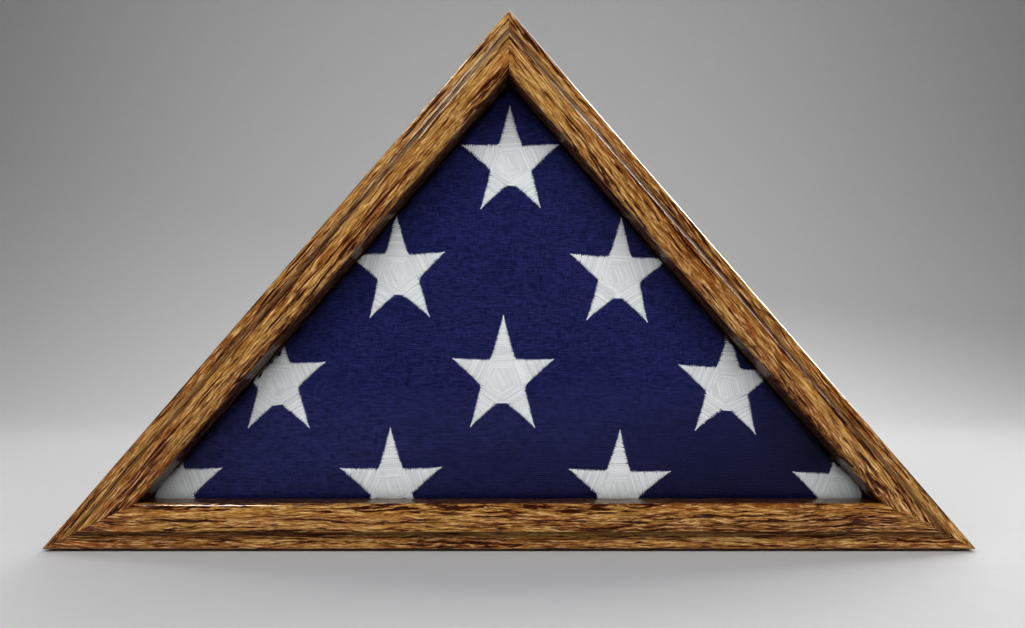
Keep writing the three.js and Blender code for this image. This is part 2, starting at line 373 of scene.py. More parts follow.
def oak(name, shift, streak=60, slant=0.0, wander=1.0, open_grain=1.0, tone=1.0, polish=0.1, face=0,
        own_frame=True):
    """Stained and varnished oak, its grain along x: short dark pores in loose rows under a gloss coat.

    Streak is how many pores follow each other in a metre. A face is a moulding's width, for the
    painted shade in its cove and on its inner side.
    """
    g = Graph(name)
    own = g.place(along_grain=own_frame)
    flow = oak_flow(g, g.stretched(own, (1, 1, 1), shift), slant, wander)
    dark, halo = oak_pores(g, flow, streak, open_grain)

    def stain(red, green, blue):
        return rgb(red * tone, green * tone, blue * tone)

    broad = g.noise(g.stretched(flow, (8, 90, 60)), detail=3)
    warm = g.noise(g.stretched(flow, (16, 170, 110), (7, 2, 5)), detail=3)
    fibre = g.noise(g.stretched(flow, (90, 900, 700)), detail=3, roughness=0.65)
    colour = g.mix(g.step(broad, 0.36, 0.64), stain(142, 94, 42), stain(175, 134, 72))
    colour = g.tint(colour, g.step(warm, 0.48, 0.7), 0.42, stain(156, 82, 42))
    colour = g.tint(colour, g.step(fibre, 0.52, 0.34), 0.7, stain(236, 204, 154))
    colour = g.tint(colour, g.step(fibre, 0.5, 0.72), 0.8, stain(72, 28, 4))
    colour = g.tint(colour, halo, 0.55, stain(112, 44, 6))
    colour = g.tint(colour, dark, 0.96, rgb(50, 11, 0))
    gloss = VARNISH
    # painted shade in a face rail's cove and on its inner side
    if face:
        colour, gloss = moulding_painted_shade(g, own, face, colour)

    height = g.math("SUBTRACT", g.math("MULTIPLY", fibre, 0.12), dark)
    return g.finish(
        Base_Color=colour,
        Roughness=g.math("ADD", g.math("MULTIPLY", dark, 0.2), 0.5),
        Specular_IOR_Level=0.1,
        Coat_Weight=gloss,
        Coat_Roughness=polish,
        Coat_IOR=1.36,
        Coat_Tint=(0.95, 0.88, 0.74, 1),
        Normal=g.bump(height, 0.2 * MM),
        Coat_Normal=g.bump(height, 0.025 * MM),
    )


def plywood():
    """Bare rotary-cut face with wide flame figure, and darker crossed plies on the edges."""
    g = Graph("plywood")
    place = g.place()
    sway = g.noise(g.stretched(place, (3, 3, 9)), detail=3, distortion=0.4)
    figure = g.noise(g.stretched(place, (5, 60, 34)), detail=4, distortion=1.2)
    contour = g.math("ADD", sway, g.math("MULTIPLY", figure, 0.3))
    flame = g.math("SINE", g.math("MULTIPLY", contour, 60))
    fibre = g.noise(g.stretched(place, (60, 900, 1500)))
    two_plies = 3.2 * MM
    ply = g.math("SINE", g.math("MULTIPLY", g.axis(place, "Y"), 2 * math.pi / two_plies))
    colour = g.mix(g.step(flame, -1, 1), rgb(206, 168, 116), rgb(188, 146, 94))
    colour = g.tint(colour, g.step(fibre, 0.4, 0.7), 0.4, rgb(160, 116, 70))
    facing = g.axis(g.node("NewGeometry").outputs["Normal"], "Y")
    on_edge = g.math("SUBTRACT", 1, g.math("ABSOLUTE", facing))
    cross = g.math("MULTIPLY", g.step(ply, -0.2, 0.2), g.step(on_edge, 0.5, 0.8))
    colour = g.tint(colour, cross, 0.7, rgb(120, 80, 44))
    return g.finish(
        Base_Color=colour,
        Roughness=g.math("ADD", g.math("MULTIPLY", fibre, 0.15), 0.55),
        Normal=g.bump(fibre, 0.08 * MM),
    )


def navy_cotton():
    """Plain-woven navy cotton with uneven threads both ways, with painted shade towards the lower right."""
    g = Graph("navy_cotton")
    place = g.place()
    thread_pitch = 1.7 * MM
    pitch = 2 * math.pi / thread_pitch
    drift = g.math("MULTIPLY", g.noise(g.stretched(place, (60, 60, 60))), 4)
    warp = g.math("SINE", g.math("ADD", g.math("MULTIPLY", g.axis(place, "X"), pitch), drift))
    weft = g.math("SINE", g.math("ADD", g.math("MULTIPLY", g.axis(place, "Z"), pitch), drift))
    side = g.math("SINE", g.math("MULTIPLY", g.axis(place, "Y"), pitch))
    weave = g.math("ADD", g.math("MULTIPLY", warp, weft), g.math("MULTIPLY", weft, 0.5))
    weave = g.math("ADD", weave, g.math("MULTIPLY", side, 0.4))
    slub_across = g.noise(g.stretched(place, (180, 300, 1100)), roughness=0.6)
    slub_up = g.noise(g.stretched(place, (1100, 300, 180), (2, 5, 1)), roughness=0.6)
    slubs = g.math("ADD", g.math("MULTIPLY", slub_across, 0.6), g.math("MULTIPLY", slub_up, 0.4))
    cloudy = g.noise(g.stretched(place, (7, 7, 7)))
    colour = g.mix(g.step(slubs, 0.32, 0.68), rgb(22, 24, 64), rgb(56, 60, 114))
    colour = g.tint(colour, g.step(weave, -0.9, 1.3), 0.8, rgb(13, 14, 50))
    colour = g.tint(colour, g.step(cloudy, 0.35, 0.7), 0.2, rgb(32, 36, 84))
    # painted shade: the cloth darkened towards the bottom and the lower right
    rise = g.math("SUBTRACT", g.axis(place, "Z"), g.math("MULTIPLY", g.axis(place, "X"), 0.2))
    colour = g.tint(colour, g.step(rise, 0.12, 0.0), 0.6, rgb(8, 8, 34))
    height = g.math("ADD", g.math("MULTIPLY", weave, 0.35), g.math("MULTIPLY", slubs, 1.6))
    return g.finish(
        Base_Color=colour,
        Roughness=g.math("ADD", g.math("MULTIPLY", slubs, 0.2), 0.75),
        Specular_IOR_Level=0.1,
        Sheen_Weight=0.08,
        Sheen_Roughness=0.4,
        Normal=g.bump(height, 0.16 * MM),
    )


def star_thread():
    """Off-white embroidery floss; tone is a shade given to each stitch."""
    g = Graph("star_thread")
    place = g.place()
    tone = g.node("Attribute", attribute_name="tone").outputs["Fac"]
    fluff = g.noise(g.stretched(place, (2400, 2400, 2400)))
    colour = g.mix(tone, rgb(209, 210, 211), rgb(234, 235, 236))
    colour = g.tint(colour, g.step(fluff, 0.4, 0.8), 0.25, rgb(188, 188, 186))
    return g.finish(
        Base_Color=colour,
        Roughness=g.math("ADD", g.math("MULTIPLY", fluff, 0.2), 0.45),
        Specular_IOR_Level=0.35,
        Sheen_Weight=0.2,
        Normal=g.bump(fluff, 0.05 * MM),
    )


def felt():
    """Dark green felt, fuzzy and clumped."""
    g = Graph("felt")
    place = g.place()
    fuzz = g.noise(g.stretched(place, (900, 900, 900)), detail=4, roughness=0.7)
    clumps = g.noise(g.stretched(place, (160, 160, 160)), detail=3)
    colour = g.mix(g.step(fuzz, 0.3, 0.7), rgb(16, 24, 18), rgb(46, 62, 48))
    colour = g.tint(colour, clumps, 0.4, rgb(26, 34, 27))
    return g.finish(
        Base_Color=colour,
        Roughness=0.95,
        Sheen_Weight=0.5,
        Normal=g.bump(fuzz, 0.3 * MM),
    )


def metal(name, bright, dull, roughness):
    """Worn plate metal: fine scratches along x, duller in patches."""
    g = Graph(name)
    place = g.place()
    scratches = g.noise(g.stretched(place, (30, 900, 900)), detail=3)
    patches = g.noise(g.stretched(place, (120, 120, 120)), detail=3)
    colour = g.mix(g.step(patches, 0.35, 0.7), bright, dull)
    grain = g.math("ADD", g.math("MULTIPLY", scratches, 0.18), g.math("MULTIPLY", patches, 0.14))
    return g.finish(
        Base_Color=colour,
        Metallic=1.0,
        Roughness=g.math("ADD", grain, roughness),
        Normal=g.bump(scratches, 0.02 * MM),
    )


def clear_glass():
    """Thin low-reflection glass: clear to look through, with a faint Fresnel gloss and wiping marks."""
    g = Graph("clear_glass")
    smears = g.noise(g.stretched(g.place(), (14, 14, 5)), detail=4, distortion=1.5)
    tinge = g.mix(smears, (0.992, 0.996, 0.994, 1), (0.996, 0.999, 0.998, 1))
    clear = g.node("BsdfTransparent", {"Color": tinge})
    smeared = g.math("MULTIPLY", smears, 0.06)
    gloss = g.node("BsdfGlossy", {"Color": (1, 1, 1, 1), "Roughness": smeared})
    share = g.math("MULTIPLY", g.node("Fresnel", {"IOR": 1.45}).outputs[0], 0.1)
    both = g.node("MixShader", {0: share, 1: clear.outputs[0], 2: gloss.outputs[0]})
    g.links.new(both.outputs[0], g.output.inputs["Surface"])
    return g.material


# ---------------------------------------------------------------- wooden members

def face_section(width):
    """Across a face rail: round-over, crowned band, arris, cove, fillet and outer edge."""
    round_over = (width, FRONT - 5.5 * MM)
    band_inner = (0.86 * width, FRONT - 0.7 * MM)
    band_outer = (0.42 * width, FRONT - 0.5 * MM)
    arris = (0.4 * width, FRONT - 1.2 * MM)
    fillet = FRONT - 5.4 * MM
    edge_radius = 2.4 * MM
    edge_steps = 9
    points = [(0, FACE_BACK), (width, FACE_BACK), round_over]
    points += bend(round_over, (width, FRONT - 1.2 * MM), band_inner, 10)
    points += bend(band_inner, (0.64 * width, FRONT + 0.6 * MM), band_outer, 10)
    points += bend(band_outer, (0.405 * width, FRONT - 0.7 * MM), arris, 4)
    points += bend(arris, (0.235 * width, fillet), (0.17 * width, fillet), 10)
    for i in range(edge_steps + 1):
        turn = i / edge_steps * math.pi / 2
        points.append((edge_radius * (1 - math.sin(turn)), fillet - edge_radius * (1 - math.cos(turn))))
    return points


def board_section():
    """Across a box board, with its long edges eased and the rabbet for the back panel."""
    step_in = BACK + RABBET_DEPTH
    corners = [
        (0, BACK),
        (RABBET_LAND, BACK),
        (RABBET_LAND, step_in),
        (BOARD_THICKNESS, step_in),
        (BOARD_THICKNESS, BOARD_FRONT),
        (0, BOARD_FRONT),
    ]
    eases = [0.9 * MM, 0.5 * MM, 0.1 * MM, 0.4 * MM, 0.1 * MM, 0.5 * MM]
    return rounded(corners, eases, 4)


def stop_section():
    """Across a strip that holds the glass, its visible long edge rounded."""
    outer = BOARD_THICKNESS + STOP_GAP
    inner = stop_high.z - BASE_Z
    corners = [(outer, -stop_high.y), (inner, -stop_high.y), (inner, -stop_low.y), (outer, -stop_low.y)]
    return rounded(corners, [0.4 * MM, 1.5 * MM, 0.4 * MM, 0.4 * MM], 4)


def case_piece(piece, slot, *nodes, body="case"):
    """Says which body a piece rides and which CAD nodes it stands for; slot, what it is made of, is not
    used.
    """
    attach(piece, body)
    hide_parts(*nodes)


def wooden_members():
    """Face rails, box boards and glass stops, each with its own length of oak."""
    looks = {
        "base": dict(shift=(0.13, 0.021, 0.3), streak=46, wander=1.0),
        "right": dict(shift=(1.91, 0.46, 0.7), streak=52, slant=0.05, wander=0.8, open_grain=1.15),
        "left": dict(shift=(3.37, 0.83, 1.1), streak=40, wander=0.6, open_grain=1.25),
    }
    for bar in MEMBERS:
        look = looks[bar.name]
        rail_oak = oak(f"oak_rail_{bar.name}", face=bar.face, **look)
        side_look = dict(look, shift=(look["shift"][0] + 0.5, 0.9, 0.2))
        board_oak = oak(f"oak_board_{bar.name}", tone=0.95, polish=0.3, **side_look)
        rail = mitred_bar(f"rail_{bar.name}", face_section(bar.face), bar, bar.face_runs, rail_oak)
        board = mitred_bar(f"board_{bar.name}", board_section(), bar, bar.board_runs, board_oak)
        stop = mitred_bar(f"stop_{bar.name}", stop_section(), bar, bar.board_runs, board_oak)
        case_piece(rail, "oak", f"face_rail_{bar.name}")
        case_piece(board, "oak", f"box_board_{bar.name}")
        case_piece(stop, "oak", f"glass_stop_{bar.name}")


# ---------------------------------------------------------------- back panel, felt and fixings

def back_panel():
    """The plywood panel, its corners rounded and its edges eased."""
    low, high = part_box("back_panel")
    outline = rounded(inset_triangle(RABBET_LAND + PANEL_CLEARANCE), [4 * MM] * 3, 6)
    verts, faces = slab(outline, low.y, high.y, eased_edge(0.4 * MM, high.y - low.y))
    piece = new_piece("panel_ply", verts, faces, plywood())
    case_piece(piece, "plywood", "back_panel", body="back_panel")


def felt_liner():
    """The felt under the base, with soft edges."""
    low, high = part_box("base_felt")
    corners = [(low.x, low.y), (high.x, low.y), (high.x, high.y), (low.x, high.y)]
    outline = rounded(corners, [3 * MM] * 4, 6)
    thickness = high.z - low.z
    rings = [(0.5 * MM, 0), (0.1 * MM, 0.25), (0, 0.5), (0.1 * MM, 0.75), (0.5 * MM, 1)]
    verts = []
    for inset, share in rings:
        verts += [(x, y, low.z + thickness * share) for x, y in moved_in(outline, inset)]
    piece = new_piece("felt_liner", verts, tube_faces(len(rings), len(outline)), felt(), sharp_angle=70)
    case_piece(piece, "felt", "base_felt")


def stadium(inset):
    """The button's outline round its pivot, evenly spaced, moved in by inset."""
    radius = BUTTON_WIDTH / 2 - inset
    reach = BUTTON_LENGTH - BUTTON_WIDTH
    half_round = math.pi * radius
    perimeter = 2 * reach + 2 * half_round
    points = []
    for i in range(BUTTON_POINTS):
        along = i / BUTTON_POINTS * perimeter
        if along < reach:
            points.append((along, -radius))
        elif along < reach + half_round:
            turn = (along - reach) / radius - math.pi / 2
            points.append((reach + radius * math.cos(turn), radius * math.sin(turn)))
        elif along < 2 * reach + half_round:
            points.append((2 * reach + half_round - along, radius))
        else:
            turn = (along - 2 * reach - half_round) / radius + math.pi / 2
            points.append((radius * math.cos(turn), radius * math.sin(turn)))
    return points


def button_mesh(thickness):
    """A flat bar with round ends and softened edges, with a hole; z is away from the case."""
    hole = SHANK_RADIUS + HEAD_GAP
    soft = 0.5 * MM
    chamfer = 0.25 * MM
    under = 0.2 * MM
    holes = [(hole, 0), (hole, thickness - chamfer), (hole + chamfer, thickness)]
    edges = [
        (soft * 2, thickness),
        (soft, thickness - 0.06 * MM),
        (soft * 0.3, thickness - soft * 0.45),
        (0, thickness - soft),
        (0, under),
        (under, 0),
    ]
    ways = [Vector(point).normalized() for point in stadium(0)]
    verts = []
    for radius, z in holes:
        verts += [(radius * way.x, radius * way.y, z) for way in ways]
    for inset, z in edges:
        verts += [(x, y, z) for x, y in stadium(inset)]
    ring_count = len(holes) + len(edges)
    faces = tube_faces(ring_count, BUTTON_POINTS, closed_ends=False)
    last = (ring_count - 1) * BUTTON_POINTS
    for i in range(BUTTON_POINTS):
        j = (i + 1) % BUTTON_POINTS
        faces.append((last + i, last + j, j, i))
    return verts, faces


def screw_head_mesh(seat, height, shank_tip):
    """A round head with a slot, on a plain shank; z is away from the case."""
    rim = seat + 0.15 * MM
    dome = height - 0.15 * MM
    dome_steps = 9
    count = 40
    profile = [
        (SHANK_RADIUS * 0.4, shank_tip),
        (SHANK_RADIUS, shank_tip + 2 * MM),
        (SHANK_RADIUS, seat),
        (SCREW_HEAD_RADIUS * 0.97, seat),
        (SCREW_HEAD_RADIUS, rim),
    ]
    for i in range(1, dome_steps):
        turn = i / dome_steps * math.pi / 2
        profile.append((SCREW_HEAD_RADIUS * math.cos(turn), rim + dome * math.sin(turn)))
    verts = []
    for radius, z in profile:
        for i in range(count):
            turn = 2 * math.pi * i / count
            verts.append((radius * math.cos(turn), radius * math.sin(turn), z))
    return verts, tube_faces(len(profile), count)


def cut_slot(piece, width, depth, top):
    """Cuts a screwdriver slot across a head with a boolean, applied to its mesh."""
    half = SCREW_HEAD_RADIUS * 1.2
    verts, faces = [], tube_faces(2, 4)
    for x in (-half, half):
        verts += [(x, -width / 2, top - depth), (x, width / 2, top - depth)]
        verts += [(x, width / 2, top + 1 * MM), (x, -width / 2, top + 1 * MM)]
    cutter = new_piece("slot_cutter", verts, faces, piece.data.materials[0])
    modifier = piece.modifiers.new("slot", "BOOLEAN")
    modifier.operation = "DIFFERENCE"
    modifier.object = cutter
    settle(piece)
    bpy.data.objects.remove(cutter)
    piece.data.shade_smooth()
    piece.data.set_sharp_from_angle(angle=math.radians(32))


def settle(piece):
    """Applies a piece's modifiers to its mesh."""
    evaluated = piece.evaluated_get(bpy.context.evaluated_depsgraph_get())
    mesh = bpy.data.meshes.new_from_object(evaluated)
    piece.modifiers.clear()
    piece.data = mesh


def turn_buttons():
    """Brass turn buttons, each on its own body, and the slotted screws that they turn on."""
    button_low, button_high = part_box("turn_button_base_1")
    screw_low, screw_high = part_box("button_screw_base_1")
    thickness = button_high.y - button_low.y
    brass = metal("brass", rgb(214, 172, 92), rgb(168, 124, 58), 0.2)
    plate = button_mesh(thickness)
    seat = button_high.y + BACK
    head_height = screw_high.y - button_high.y - HEAD_GAP
    shank = screw_head_mesh(seat + HEAD_GAP, head_height, screw_low.y + BACK)
    rng = random.Random(5)
    for bar in MEMBERS:
        for i, share in enumerate(FIXING_SHARES):
            name = f"{bar.name}_{i + 1}"
            pivot = Matrix.Translation((share * bar.length, RABBET_LAND / 2, BACK))
            outwards = bar.matrix @ pivot @ Matrix.Rotation(math.pi, 4, "X")
            parked = Matrix.Rotation(math.pi if PARKED_BACKWARDS[bar.name][i] else 0, 4, "Z")
            lift = Matrix.Translation((0, 0, button_low.y + BACK))
            button = new_piece(f"button_{name}", *plate, brass, outwards @ parked @ lift)
            case_piece(button, "brass", f"turn_button_{name}", body=f"turn_button_{name}")
            twist = Matrix.Rotation(rng.uniform(0, math.pi), 4, "Z")
            screw = new_piece(f"screw_{name}", *shank, brass)
            cut_slot(screw, 0.9 * MM, 0.8 * MM, seat + HEAD_GAP + head_height)
            screw.data.transform(outwards @ twist)
            case_piece(screw, "brass", f"button_screw_{name}")


# ---------------------------------------------------------------- folded flag

FLAG_LAYERS = 7
FLAG_VOXEL = 3.4 * MM
FLAG_SWELL = 1.6 * MM
FLAG_GLASS_GAP = 0.15 * MM
CORNER_NOSE = 15 * MM
APEX_NOSE = 12 * MM
LAYER_OVERLAP = 0.2 * MM
SWELL_PRESSURE = 3.0
SWELL_FRAMES = 16
TUCK_DEPTH = 2.2 * MM


def flag_stack(low, high):
    """The folds as a stack of round-edged layers, a little smaller than the space for the bundle."""
    rng = random.Random(11)
    thickness = (high.y - low.y) / FLAG_LAYERS
    verts, faces = [], []
    for k in range(FLAG_LAYERS):
        inset = FLAG_INSET + FLAG_SWELL + rng.uniform(-1.2, 1.2) * MM
        noses = [CORNER_NOSE + rng.uniform(-3, 4) * MM, CORNER_NOSE + rng.uniform(-3, 4) * MM, APEX_NOSE]
        outline = rounded(inset_triangle(inset), noses, 10)
        edge = []
        for j in range(4, -5, -1):
            turn = math.pi / 2 * j / 4
            edge.append((thickness / 2 * (1 - math.cos(turn)), 0.5 - 0.5 * math.sin(turn)))
        y_low = low.y + k * thickness - LAYER_OVERLAP
        y_high = y_low + thickness + 2 * LAYER_OVERLAP
        layer_verts, layer_faces = slab(outline, y_low, y_high, edge)
        faces += [tuple(i + len(verts) for i in face) for face in layer_faces]
        verts += layer_verts
    return verts, faces


def swell(piece, low, high):
    """Fills the bundle out with cloth under pressure, held by the glass, panel and boards."""
    rest = [v.co.copy() for v in piece.data.vertices]
    cloth = piece.modifiers.new("cloth", "CLOTH")
    cloth.settings.use_pressure = True
    cloth.settings.uniform_pressure_force = SWELL_PRESSURE
    cloth.settings.effector_weights.gravity = 0
    cloth.settings.quality = 4
    cloth.point_cache.frame_start = 1
    cloth.point_cache.frame_end = SWELL_FRAMES
    for step in range(1, SWELL_FRAMES + 1):
        bpy.context.scene.frame_set(step)
    settle(piece)
    bpy.context.scene.frame_set(1)
    for vertex, start in zip(piece.data.vertices, rest):
        move = vertex.co - start
        if move.length > FLAG_SWELL:
            vertex.co = start + move.normalized() * FLAG_SWELL
        vertex.co.y = min(max(vertex.co.y, low.y), high.y)


def ripple(piece, low):
    """Gives the pressed front slight waves that fall back from the glass."""
    for vertex in piece.data.vertices:
        co = vertex.co
        wave = value_noise(Vector((co.x * 9, co.z * 13, 4.2)))
        fine = value_noise(Vector((co.x * 38, co.z * 52, 8.1)))
        nearness = max(0.0, 1 - (co.y - low.y) / (8 * MM))
        co.y += nearness * (FLAG_GLASS_GAP + 0.35 * MM * (1 + wave) + 0.10 * MM * (1 + fine))


def tuck(piece, high):
    """Steps the bundle's back down past the slanting edge of the last, tucked-in fold."""
    edge_point = Vector((-0.06, 0.16))
    edge_normal = Vector((0.62, 0.78))
    for vertex in piece.data.vertices:
        co = vertex.co
        past = (Vector((co.x, co.z)) - edge_point).dot(edge_normal)
        waver = 3 * MM * value_noise(Vector((co.x * 12, co.z * 12, 1.7)))
        share = min(max((past + waver) / (2 * MM), 0.0), 1.0)
        nearness = min(max(1 - (high.y - co.y) / (9 * MM), 0.0), 1.0)
        wave = value_noise(Vector((co.x * 10, co.z * 14, 9.3)))
        co.y -= nearness * (TUCK_DEPTH * share + 0.5 * MM * (1 + wave))


def folded_flag():
    """The flag as one soft bundle: its layers joined, filled out and smoothed, then pressed on."""
    low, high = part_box("folded_flag")
    verts, faces = flag_stack(low, high)
    piece = new_piece("flag_bundle", verts, faces, navy_cotton())
    remesh = piece.modifiers.new("remesh", "REMESH")
    remesh.mode = "VOXEL"
    remesh.voxel_size = FLAG_VOXEL
    remesh.use_smooth_shade = True
    settle(piece)
    swell(piece, low, high)
    smooth = piece.modifiers.new("smooth", "SMOOTH")
    smooth.factor = 0.5
    smooth.iterations = 3
    settle(piece)
    ripple(piece, low)
    tuck(piece, high)
    piece.data.shade_smooth()
    case_piece(piece, "cotton", "folded_flag")
    return piece


# ---------------------------------------------------------------- embroidered stars

STAR_HALF_WIDTH = 43.6 * MM
STAR_TOP = 49.0 * MM
NOTCH_REACHES = (0.36, 0.41, 0.36, 0.41, 0.36)
STITCH_PITCH = 0.9 * MM
CENTRE_PITCH = 0.55 * MM
STITCH_WIDTH = 1.1 * MM
STITCH_HEIGHT = 0.3 * MM
TOOTH = 1.15 * MM
ARM_LIFT = 0.07 * MM
ARM_HOLLOW = 1.12
CROTCH_HOLLOW = 1.2
CENTRE_REACH = 1.3
CENTRE_NARROWING = 0.45
STITCH_SIDES = 5

# Along a stitch: how far, and how full it is there
STITCH_PROFILE = ((0, 0.2), (0.08, 0.75), (0.3, 1), (0.7, 1), (0.92, 0.75), (1, 0.2))

# In sewing order: the arm, counted from the top one, and where its stitches start and end along it
ARM_PASSES = (
    (0, 0.0, 1.41),
    (2, 0.0, 1.3),
    (3, 0.0, 1.25),
    (1, 0.0, 1.2),
    (4, 0.0, 1.3),
    (0, 0.6, 0.86),
)

# Each star's centre in millimetres (x, height above the table), its size and its tilt in degrees
STARS = (
    (1, 306, 0.94, 0.5),
    (-89, 219, 0.945, 2.0),
    (88, 216.5, 0.96, -2.5),
    (-185, 131.5, 0.955, 1.0),
    (-5, 134, 1.0, -0.5),
    (174.5, 127.5, 0.955, -3.0),
    (-269, 46, 0.97, 1.5),
    (-94.5, 47, 0.975, 0.5),
    (87.5, 45, 0.985, -1.5),
    (265, 43, 0.97, -2.0),
)


def star_arms(size, rng):
    """Five arms about the star's centre, each as its tip and the notches on its left and right."""
    wide = STAR_HALF_WIDTH * size
    tall = STAR_TOP * size
    tips, notches = [], []
    for k in range(5):
        turn = math.pi / 2 + 2 * math.pi * k / 5
        reach = 1 + rng.uniform(-0.025, 0.02)
        tips.append(Vector((wide * math.cos(turn) * reach, tall * math.sin(turn) * reach)))
        half = turn + math.pi / 5 + rng.uniform(-0.04, 0.04)
        depth = NOTCH_REACHES[k] * (1 + rng.uniform(-0.04, 0.04))
        notches.append(Vector((wide * math.cos(half) * depth, tall * math.sin(half) * depth)))
    return [(tips[k], notches[k], notches[k - 1]) for k in range(5)]


def stitch_places(length, run, start, end):
    """How far from the tip each stitch lies; past the notches they are closer together."""
    places = []
    along = STITCH_PITCH
    while along < length * end:
        if along > length * start:
            places.append(along)
        along += STITCH_PITCH if along < run - STITCH_PITCH else CENTRE_PITCH
    return places


def arm_stitches(tip, left_notch, right_notch, start, end, rng):
    """Stitches across one arm, as pairs of ends; the centre is one arm length from the tip."""
    length = tip.length
    inward = -tip.normalized()
    across = Vector((-inward.y, inward.x))
    sides = []
    for notch, sign in ((left_notch, -1), (right_notch, 1)):
        offset = notch - tip
        hollow = CROTCH_HOLLOW if notch.y < -0.9 * notch.length else ARM_HOLLOW
        sides.append((offset.dot(inward), abs(offset.dot(across)), sign, hollow))
    skew = rng.uniform(-0.1, 0.1)
    stitches = []
    for i, place in enumerate(stitch_places(length, min(side[0] for side in sides), start, end)):
        along = place + rng.uniform(-0.12, 0.12) * MM
        ends = []
        for run, width, sign, hollow in sides:
            if along < run:
                half = width * (along / run) ** hollow
                loose = 0.1 * MM
            else:
                past = (along - run) / (length * CENTRE_REACH - run)
                half = width * (1 - CENTRE_NARROWING * past) + rng.uniform(-1.6, 1.0) * MM
                loose = 0.4 * MM
            long_stitch = (i % 2 == 0) == (sign > 0)
            tooth = (0.5 if long_stitch else -0.5) * TOOTH + rng.uniform(-0.45, 0.45) * MM
            half = max(half + tooth * min(1, 4 * along / run), 0.45 * MM)
            lean = sign * (skew * half + rng.uniform(-loose, loose))
            ends.append(tip + inward * (along + lean) + across * (sign * half))
        stitches.append(ends)
    return stitches


def on_flag(start, end, surface):
    """The part of a stitch that has flag under it, or None."""
    spots = [start.lerp(end, i / 12) for i in range(13)]
    found = [spot for spot in spots if surface(spot) is not None]
    return (found[0], found[-1]) if len(found) > 1 else None


def stitch_rings(start, end, surface, lift):
    """Cross-sections of one arched stitch lying on the flag between two points."""
    along = (end - start).normalized()
    across = Vector((-along.y, along.x))
    rings = []
    for share, fullness in STITCH_PROFILE:
        centre = start.lerp(end, share)
        depth = surface(centre)
        if depth is None:
            return []
        for j in range(STITCH_SIDES):
            turn = math.pi * j / (STITCH_SIDES - 1) - math.pi / 2
            side = centre + across * (STITCH_WIDTH / 2 * math.sin(turn) * (0.5 + 0.5 * fullness))
            rise = lift * min(1, fullness * 1.2) + STITCH_HEIGHT * math.cos(turn) * fullness
            rings.append((side.x, depth - rise, side.y))
    return rings


def embroidered_star(name, star, surface, thread, rng):
    """One star, each of its stitches a small tube, with a shade of its own for each stitch."""
    x, z, size, degrees = star
    centre = Vector((x * MM, z * MM))
    tilt = Matrix.Rotation(math.radians(degrees), 2)
    arms = star_arms(size, rng)
    verts, faces, tones = [], [], []
    for order, (k, start, end) in enumerate(ARM_PASSES):
        for ends in arm_stitches(*arms[k], start, end, rng):
            ends = on_flag(*[centre + tilt @ point for point in ends], surface)
            rings = stitch_rings(*ends, surface, order * ARM_LIFT) if ends else []
            if rings:
                tube = tube_faces(len(rings) // STITCH_SIDES, STITCH_SIDES)
                faces += [tuple(len(verts) + i for i in face) for face in tube]
                verts += rings
                tones += [rng.random()] * len(rings)
    piece = new_piece(name, verts, faces, thread, sharp_angle=60)
    piece.data.attributes.new("tone", "FLOAT", "POINT").data.foreach_set("value", tones)
    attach(piece, "case")


def stars(flag):
    """The stars of the folded flag's front; what lies past its edge is left out."""
    tree = BVHTree.FromObject(flag, bpy.context.evaluated_depsgraph_get())

    def surface(point):
        """How far back the flag's front lies at a point, or None past its edge."""
        hit = tree.ray_cast(Vector((point.x, -FRONT, point.y)), Vector((0, 1, 0)))[0]
        return None if hit is None or hit.y > 0 else hit.y

    thread = star_thread()
    for i, star in enumerate(STARS):
        embroidered_star(f"star_{i + 1}", star, surface, thread, random.Random(100 + i))


# ---------------------------------------------------------------- carried-over CAD nodes

def dress_cad_nodes():
    """Materials for the CAD nodes that stay as they are."""
    glass = clear_glass()
    steel = metal("zinc_steel", rgb(170, 172, 176), rgb(126, 128, 132), 0.3)
    inner_oak = oak("oak_splines", (5.2, 0.3, 0.1), tone=0.9, own_frame=False)
    for name, node in frame["nodes"].items():
        if name == "glass_pane":
            finish = glass
        elif name.startswith(("corner_vnail", "stop_brad")):
            finish = steel
        elif name.startswith("corner_spline"):
            finish = inner_oak
        else:
            continue
        node.data.materials.clear()
        node.data.materials.append(finish)


# ---------------------------------------------------------------- studio

CAMERA_DISTANCE = 609 * MM
CAMERA_HEIGHT = 143 * MM
CAMERA_SIDE = 2.7 * MM
SENSOR_WIDTH = 36
FOCAL_SHARE = 0.7805  # of the sensor's width
FRAMING_SHIFT = 0.0485

COOL = (0.98, 0.99, 1.0)
WARM = (1.0, 0.975, 0.94)

FLOOR_FRONT = -4.0
WALL_BACK = 3.0
WALL_TOP = 3.2
SWEEP_RADIUS = 1.8
HALF_BREADTH = 5.0


def camera():
    """Square on to the case, a little above its base, with a small upward shift for the framing."""
    data = bpy.data.cameras.new("camera")
    data.sensor_width = SENSOR_WIDTH
    data.lens = SENSOR_WIDTH * FOCAL_SHARE
    data.shift_y = FRAMING_SHIFT
    viewer = bpy.data.objects.new("camera", data)
    viewer.location = (CAMERA_SIDE, -FRONT - CAMERA_DISTANCE, BASE_Z + CAMERA_HEIGHT)
    viewer.rotation_euler = (math.pi / 2, 0, 0)
    bpy.context.scene.collection.objects.link(viewer)
    bpy.context.scene.camera = viewer


def area_light(name, place, target, size, watts, colour=(1, 1, 1), glossy=True, diffuse=True):
    """A soft lamp; one that isn't glossy leaves no highlight, one that isn't diffuse only that."""
    data = bpy.data.lights.new(name, "AREA")
    data.shape = "RECTANGLE"
    data.size, data.size_y = size
    data.energy = watts
    data.color = colour
    lamp = bpy.data.objects.new(name, data)
    lamp.location = place
    lamp.rotation_euler = (Vector(target) - Vector(place)).to_track_quat("-Z", "Y").to_euler()
    lamp.visible_glossy = glossy
    lamp.visible_diffuse = diffuse
    bpy.context.scene.collection.objects.link(lamp)


